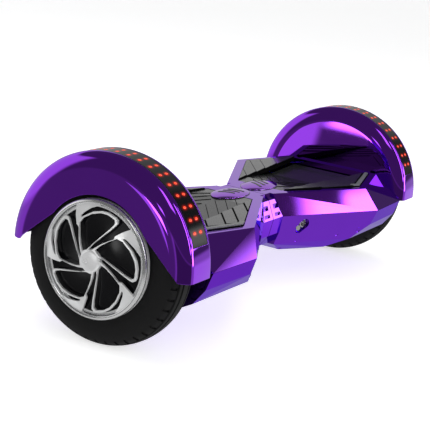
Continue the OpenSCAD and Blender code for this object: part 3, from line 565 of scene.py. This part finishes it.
# %% Strips and lamps
def build_strip(label, side):
    wide, top, low = 0.0148, CROWN - 0.0002, CROWN - 0.0014
    section = [(-wide, low), (-wide, top), (wide, top), (wide, low), (-wide, low)]
    bm = profile_spin(bmesh.new(), section, -math.radians(71.9), math.radians(143.8), 96)
    rims = [e for e in bm.edges if e.is_boundary]
    bmesh.ops.holes_fill(bm, edges=rims, sides=6)
    return finish_mesh(f"{label}_strip_plate", bm, side, f"{label}_half", strip_smoke,
                       [f"{label}_light_strip"], sharp=40, bevel=0.0003)


def build_lamps(label, side):
    bm = bmesh.new()
    for k in range(-9, 10):
        for offset in (-0.006, 0.006):
            made = bmesh.ops.create_uvsphere(bm, u_segments=12, v_segments=6, radius=1.0)["verts"]
            bmesh.ops.scale(bm, vec=(0.0030, 0.0017, 0.0005), verts=made)
            bmesh.ops.translate(bm, vec=(WHEEL + offset, 0, AXLE.z + CROWN - 0.0004), verts=made)
            bmesh.ops.rotate(bm, cent=AXLE, matrix=Matrix.Rotation(math.radians(k * STEP), 3, "X"),
                             verts=made)
    return finish_mesh(f"{label}_lamps", bm, side, f"{label}_half", lamp_red,
                       [f"{label}_lights"], sharp=80)


for label, side in SIDES.items():
    print(build_strip(label, side).name, build_lamps(label, side).name)

# %% [markdown]
# ## Tyre
# The tyre is a solid rubber ring. Its section is drawn once: a bead beside the rim, a bulged sidewall, a
# stepped shoulder and a crowned tread with two grooves. The spin makes the ring, and every few steps one
# shoulder block is inset and pushed in, which leaves the sipes that show along the edge of the tread.

# %% Tyres
def tyre_section():
    half = [(0.0, 0.1000), (0.0046, 0.0998), (0.0052, 0.0978), (0.0068, 0.0977), (0.0074, 0.0994),
            (0.0112, 0.0985), (0.0118, 0.0966), (0.0132, 0.0962), (0.0138, 0.0974), (0.0172, 0.0950),
            (0.0186, 0.0934), (0.0192, 0.0920), (0.0208, 0.0890), (0.0222, 0.0830), (0.0225, 0.0770),
            (0.0223, 0.0715), (0.0216, 0.0700), (0.0212, 0.0680), (0.0214, 0.0660), (0.0205, 0.0625)]
    return [(-u, r) for u, r in reversed(half[1:])] + half


def build_tyre(label, side):
    section = tyre_section()
    bm = profile_spin(bmesh.new(), section + [section[0]], 0, 2 * math.pi, 180, full=True)
    bmesh.ops.remove_doubles(bm, verts=bm.verts, dist=1e-6)
    bmesh.ops.recalc_face_normals(bm, faces=bm.faces)
    blocks = []
    for face in bm.faces:
        centre = face.calc_center_median()
        step = int(round(math.degrees(angle_of(centre)) / 2 + 360 - 0.5))
        if 0.0138 < abs(centre.x - WHEEL) < 0.0190 and radius_of(centre) > 0.0925 and step % 4 == 0:
            blocks.append(face)
    bmesh.ops.inset_region(bm, faces=blocks, thickness=0.0004, depth=-0.0016)
    return finish_mesh(f"{label}_tyre_rubber", bm, side, f"{label}_wheel", tyre_rubber,
                       [f"{label}_tyre"], sharp=38)


for label, side in SIDES.items():
    tyre = build_tyre(label, side)
    print(tyre.name, len(tyre.data.polygons), "faces")

# %% [markdown]
# ## Wheel face
# The alloy face is a polished ring, a black dish and five swirling blades. Each blade is a silver outline
# round a dark window, with a wide flare on its leading side that meets the ring, and a narrow slit between
# the two. The outline and the window are two loops of vertices in one plane. A fill between them makes the
# plate, an extrusion gives it thickness, and a last step lifts every point onto the shallow cone of the
# hub.

# %% Ring, dish and boss
def polar(radius, degrees):
    return radius * math.cos(math.radians(degrees)) / 1000, radius * math.sin(math.radians(degrees)) / 1000


def build_ring(label, side):
    section = [(0.0278, 0.0600), (0.0278, 0.0664), (0.0292, 0.0664), (0.0312, 0.0652), (0.0326, 0.0636),
               (0.0328, 0.0626), (0.0322, 0.0618), (0.0300, 0.0606), (0.0262, 0.0592), (0.0262, 0.0580),
               (0.0268, 0.0575), (0.0278, 0.0600)]
    bm = profile_spin(bmesh.new(), section, 0, 2 * math.pi, 128, full=True)
    return finish_mesh(f"{label}_hub_ring", bm, side, f"{label}_wheel", ring_silver, [],
                       sharp=50)


def build_dish(label, side):
    section = [(0.0345, 0.0), (0.0345, 0.010), (0.0320, 0.016), (0.0286, 0.030), (0.0272, 0.045),
               (0.0264, 0.0592), (0.0225, 0.0592), (0.0225, 0.0)]
    bm = profile_spin(bmesh.new(), section, 0, 2 * math.pi, 96, full=True)
    return finish_mesh(f"{label}_hub_dish", bm, side, f"{label}_wheel", hub_black,
                       [f"{label}_hub_inlay"], sharp=50)


def build_boss(label, side):
    section = [(0.0393, 0.0), (0.0393, 0.0100), (0.0389, 0.0118), (0.0380, 0.0124), (0.0350, 0.0128),
               (0.0330, 0.0128)]
    bm = profile_spin(bmesh.new(), section, 0, 2 * math.pi, 60, full=True)
    return finish_mesh(f"{label}_hub_boss", bm, side, f"{label}_wheel", hub_silver, [],
                       sharp=60)


for label, side in SIDES.items():
    print(build_ring(label, side).name, build_dish(label, side).name, build_boss(label, side).name)

# %% Blades
OUTLINE = [(11, 92), (17, 73), (27, 58.6), (38.5, 49.4), (42, 51.6), (52, 48.5), (61.6, 45.5), (61.8, 38),
           (61.8, 30), (61.8, 22), (61.4, 14.5), (56.4, 26.5), (51.9, 36.6), (49.6, 41.2), (47.3, 41.8),
           (49.0, 34.5), (52.8, 23.5), (55.9, 12), (57.0, 3.5), (57.0, -5.5), (56.2, -10.0), (53.6, -12.2),
           (50.3, -12.0), (43, -9.9), (30, -2.2), (19, 13.5), (11, 44)]
WINDOW = [(14.2, 69), (21, 62), (31, 53.2), (42.2, 46.6), (46.2, 38.6), (50.1, 25), (53.4, 12.5), (54.6, 3.5),
          (54.6, -6.8), (51.4, -9.6), (44, -8.2), (31, -0.9), (20, 13.5), (13.2, 40)]


def loop_of(bm, points, turn):
    verts = []
    for radius, degrees in points:
        a, b = polar(radius, degrees + turn)
        verts.append(bm.verts.new((WHEEL, -a, AXLE.z + b)))
    return [bm.edges.new((verts[k], verts[(k + 1) % len(verts)])) for k in range(len(verts))]


def cone_height(radius):
    return 0.0386 - 0.000125 * max(0.0, radius * 1000 - 11) - 0.0004 * max(0.0, radius * 1000 - 58)


def build_blades(label, side):
    bm = bmesh.new()
    for unit in range(5):
        edges = loop_of(bm, OUTLINE, 72 * unit) + loop_of(bm, WINDOW, 72 * unit)
        bmesh.ops.triangle_fill(bm, use_beauty=True, use_dissolve=False, edges=edges, normal=(1, 0, 0))
    top = list(bm.faces)
    made = bmesh.ops.extrude_face_region(bm, geom=top)
    lower = [v for v in made["geom"] if isinstance(v, bmesh.types.BMVert)]
    bmesh.ops.translate(bm, vec=(-0.0030, 0, 0), verts=lower)
    for vert in bm.verts:
        vert.co.x += cone_height(radius_of(vert.co))
    return finish_mesh(f"{label}_hub_blades", bm, side, f"{label}_wheel", hub_silver,
                       [f"{label}_hub_trim"], sharp=35, bevel=0.0003)


for label, side in SIDES.items():
    blades = build_blades(label, side)
    print(blades.name, len(blades.data.polygons), "faces")

# %% [markdown]
# ## Foot pads
# Each rubber pad carries slanted slats like a row of roof tiles. Each slat starts low on the waist side and
# rises towards the wheel, then drops to the next one. The pad outline is cut by slanted lines, every strip
# is shrunk a little so that a groove stays between neighbours, and its top is tilted. The slats ride the
# pad that sinks under the foot.

# %% Slats on the pads
PAD_EDGE = [(46.4, -35.4), (46.4, -34.6), (171.1, -89.0), (266.4, -62.9), (266.4, -58.6)]
LEAN = (math.sin(math.radians(35)), math.cos(math.radians(35)))
CUTS = [-6, 12, 29.5, 46, 69, 112]


def slant(x, y):
    return LEAN[0] * x - LEAN[1] * abs(y)


def clip(points, keep):
    """Keeps the part of a polygon where keep(x, y) is not negative."""
    result = []
    for (x0, y0), (x1, y1) in zip(points, points[1:] + points[:1]):
        k0, k1 = keep(x0, y0), keep(x1, y1)
        if k0 >= 0:
            result.append((x0, y0))
        if k0 * k1 < 0:
            share = k0 / (k0 - k1)
            result.append((x0 + (x1 - x0) * share, y0 + (y1 - y0) * share))
    return result


def edge_room(x, y):
    """Distance inside the pad from its long outer edge near the fender."""
    return ((y + 89.0) * 95.3 - (x - 171.1) * 26.1) / 98.8


def build_slats(label, side, place, flip):
    bm = bmesh.new()
    room = 8.5 if place == "heel" else 1.2
    whole = clip(PAD_EDGE[1:], lambda x, y: edge_room(x, y) - room)
    for low, high in zip(CUTS, CUTS[1:]):
        strip = clip(clip(whole, lambda x, y: slant(x, y) - low - 0.7), lambda x, y: high - 0.7 - slant(x, y))
        if len(strip) < 3:
            continue
        face = bm.faces.new([bm.verts.new((x / 1000, flip * y / 1000, 0.1316)) for x, y in strip])
        made = bmesh.ops.extrude_face_region(bm, geom=[face])
        for vert in (v for v in made["geom"] if isinstance(v, bmesh.types.BMVert)):
            s = slant(vert.co.x * 1000, vert.co.y * 1000)
            vert.co.z = 0.1322 + 0.0012 * min(1, max(0, (s - low) / min(20, high - low)))
    bm.normal_update()
    for face in bm.faces:
        # Slat tops take the satin black. The sides take the darker, sheenless black, which is partly painted
        # shade in the grooves between slats.
        face.material_index = 0 if abs(face.normal.z) > 0.8 else 1
    return finish_mesh(f"{label}_{place}_slats", bm, side, f"{label}_{place}_pad", [pad_grey, pad_black_and_shade],
                       [],
                       sharp=25, bevel=0.0004)


def build_bar(label, side):
    bm = bmesh.new()
    corners = [(160, -85.0), (171.3, -88.8), (262, -63.9), (262, -58.5), (171.8, -82.6), (160.6, -78.6)]
    face = bm.faces.new([bm.verts.new((x / 1000, y / 1000, 0.1318)) for x, y in corners])
    made = bmesh.ops.extrude_face_region(bm, geom=[face])
    lifted = [v for v in made["geom"] if isinstance(v, bmesh.types.BMVert)]
    bmesh.ops.translate(bm, vec=(0, 0, 0.0020), verts=lifted)
    return finish_mesh(f"{label}_heel_bar", bm, side, f"{label}_heel_pad", bar_grey, [],
                       sharp=25, bevel=0.0006)


bar_grey = grained("bar_grey", (0.22, 0.23, 0.23), 0.3, 0.1, 600, 0.15)
for label, side in SIDES.items():
    print(build_slats(label, side, "heel", 1).name, build_slats(label, side, "toe", -1).name,
          build_bar(label, side).name)

# %% [markdown]
# ## Channel ribs and leaf covers
# The floor of the channel carries thin ribs that carry on the slant of the pads. At the waist each half
# ends in a crowned leaf of plating with a dark gasket below it and three slanted grey bars let into it. The
# leaf is a stack of shrinking outlines that follow a dome; the bars are strips laid on the same dome.

# %% Channel ribs
TRAY_HIGH = 130.6   # millimetres, at the waist
TRAY_FALL = 9.0
FALL_START = 74
FALL_LENGTH = 91.7
RIB_STARTS = (20, 33, 46, 59)
RIB_STEPS = 6


def tray_level(x):
    return TRAY_HIGH - TRAY_FALL * min(1, max(0, (x - FALL_START) / FALL_LENGTH))


def build_ribs(label, side):
    bm = bmesh.new()
    for flip in (-1, 1):
        for s in RIB_STARTS:
            y0, y1 = (14, 36) if s < 30 else (3, 33 + 0.5 * (s - 30))
            rows = []
            for k in range(RIB_STEPS + 1):
                y = y0 + (y1 - y0) * k / RIB_STEPS
                x = (s + LEAN[1] * y) / LEAN[0]
                z = tray_level(x)
                rows.append([bm.verts.new(((x - 0.7) / 1000, flip * y / 1000, (z + 0.05) / 1000)),
                             bm.verts.new((x / 1000, flip * y / 1000, (z + 0.7) / 1000)),
                             bm.verts.new(((x + 0.8) / 1000, flip * y / 1000, (z + 0.05) / 1000))])
            for first, second in zip(rows, rows[1:]):
                bm.faces.new((first[0], first[1], second[1], second[0]))
                bm.faces.new((first[1], first[2], second[2], second[1]))
                bm.faces.new((first[2], first[0], second[0], second[2]))
            bm.faces.new(rows[0])
            bm.faces.new(rows[-1])
    return finish_mesh(f"{label}_channel_ribs", bm, side, f"{label}_half", pad_black_and_shade, [],
                       sharp=30)


print("channel ribs on each half", 2 * len(RIB_STARTS))

# %% Leaf covers
LEAF = {"mid": 0.0396, "half_long": 0.0384, "half_wide": 0.0190, "base": 0.1311, "crown": 0.0032}


def leaf_outline(count=72):
    points = []
    for k in range(count):
        t = 2 * math.pi * k / count
        reach = abs(math.cos(t)) ** 0.92
        points.append((math.copysign(reach, math.cos(t)), math.copysign(abs(math.sin(t)) ** 1.12,
                                                                        math.sin(t))))
    return points


def leaf_height(share):
    return LEAF["base"] + 0.0008 + LEAF["crown"] * (1 - min(1, share) ** 2.4)


CROWN_SHARES = (1, 0.97, 0.92, 0.84, 0.72, 0.56, 0.38, 0.2)


def build_leaf(label, side):
    bm = bmesh.new()
    outline = leaf_outline()
    levels = [(1.0, LEAF["base"] - 0.0004)] + [(r, leaf_height(r)) for r in CROWN_SHARES]
    rings = []
    for share, z in levels:
        rings.append([bm.verts.new((LEAF["mid"] + LEAF["half_long"] * share * a,
                                    LEAF["half_wide"] * share * b, z)) for a, b in outline])
    for low, high in zip(rings, rings[1:]):
        for k in range(len(low)):
            j = (k + 1) % len(low)
            bm.faces.new((low[k], low[j], high[j], high[k]))
    bm.faces.new(rings[-1])
    bm.faces.new(rings[0])
    return finish_mesh(f"{label}_leaf_crown", bm, side, f"{label}_half", violet_leaf,
                       [f"{label}_leaf_cover"], sharp=50, bevel=0.0004)


def build_gasket(label, side):
    bm = bmesh.new()
    outline = leaf_outline()
    low = [bm.verts.new((LEAF["mid"] + 0.0390 * a, 0.0199 * b, 0.1309)) for a, b in outline]
    high = [bm.verts.new((LEAF["mid"] + 0.0389 * a, 0.0198 * b, 0.1315)) for a, b in outline]
    for k in range(len(low)):
        j = (k + 1) % len(low)
        bm.faces.new((low[k], low[j], high[j], high[k]))
    bm.faces.new(high)
    return finish_mesh(f"{label}_leaf_gasket", bm, side, f"{label}_half", gloss_black, [],
                       sharp=40)


def build_leaf_bars(label, side, wide, lift, material, tag, nodes):
    bm = bmesh.new()
    for k in range(3):
        rows = []
        for step in range(9):
            run = (step / 8 - 0.5) * (0.019 + 2 * wide - 0.0024)
            x = 0.0285 + 0.011 * k + run * 0.47
            y = (-0.0015 + 0.001 * k) + run * 0.88
            row = []
            for offset, drop in ((-wide, 0.0009), (-wide * 0.8, 0.0), (wide * 0.8, 0.0), (wide, 0.0009)):
                px, py = x + 0.88 * offset, y - 0.47 * offset
                share = math.hypot((px - LEAF["mid"]) / LEAF["half_long"], py / LEAF["half_wide"])
                row.append(bm.verts.new((px, py, leaf_height(share) + lift - drop)))
            rows.append(row)
        for first, second in zip(rows, rows[1:]):
            for a in range(3):
                bm.faces.new((first[a], first[a + 1], second[a + 1], second[a]))
    return finish_mesh(f"{label}_leaf_{tag}", bm, side, f"{label}_half", material, nodes,
                       sharp=60)


for label, side in SIDES.items():
    print(build_ribs(label, side).name, build_leaf(label, side).name, build_gasket(label, side).name)
    build_leaf_bars(label, side, 0.0026, 0.00015, gloss_black, "bar_rims", [])
    build_leaf_bars(label, side, 0.0018, 0.00045, insert_grey, "bars", [f"{label}_leaf_inserts"])

# %% [markdown]
# ## Moulded edges and small screws
# Plated shells never have knife edges. The CAD shells keep their shape, and a Weld with a fine Bevel rounds
# every crease, which gives the thin bright lines along the seams. Small sunk screws hold the lower shell.

# %% Rounded shell edges
WELD_DISTANCE = 0.00002
EDGE_WIDTH = 0.0008
CREASE = math.radians(24)
for name, node in NODES.items():
    if name.endswith(("top_shell", "bottom_shell")):
        joined = node.modifiers.new("joined", "WELD")
        joined.merge_threshold = WELD_DISTANCE
        edge_round = node.modifiers.new("edge_round", "BEVEL")
        edge_round.width = EDGE_WIDTH
        edge_round.segments = 2
        edge_round.limit_method = "ANGLE"
        edge_round.angle_limit = CREASE
        edge_round.harden_normals = True
        print("rounded", name)

# %% Small screws in the lower shell
FACING = Vector((-0.41712, -0.908851, -0.18)).normalized()
# place of each screw, and the radius of its recess
SCREWS = (((0.1246, -0.0842, 0.071), 0.0030), ((0.1598, -0.1003, 0.073), 0.0026),
          ((0.060, -0.0535, 0.066), 0.0024))


def build_screws(label, side):
    bm = bmesh.new()
    for spot, size in SCREWS:
        section = [(0.0, -0.0015), (size * 0.8, -0.0015), (size, 0.0006), (size * 1.25, 0.0009),
                   (size * 1.4, -0.0015)]
        verts = [bm.verts.new((r, 0, z)) for r, z in section]
        edges = [bm.edges.new(pair) for pair in zip(verts, verts[1:])]
        bmesh.ops.spin(bm, geom=verts + edges, cent=(0, 0, 0), axis=(0, 0, 1), angle=2 * math.pi,
                       steps=20, use_merge=True, use_duplicate=False)
        fresh = [v for v in bm.verts if v.is_valid and not v.tag]
        turn = Vector((0, 0, 1)).rotation_difference(FACING).to_matrix()
        bmesh.ops.rotate(bm, cent=(0, 0, 0), matrix=turn, verts=fresh)
        bmesh.ops.translate(bm, vec=spot, verts=fresh)
        for vert in fresh:
            vert.tag = True
    return finish_mesh(f"{label}_shell_screws", bm, side, f"{label}_half", violet_lower, [],
                       sharp=40)


for label, side in SIDES.items():
    print(build_screws(label, side).name)
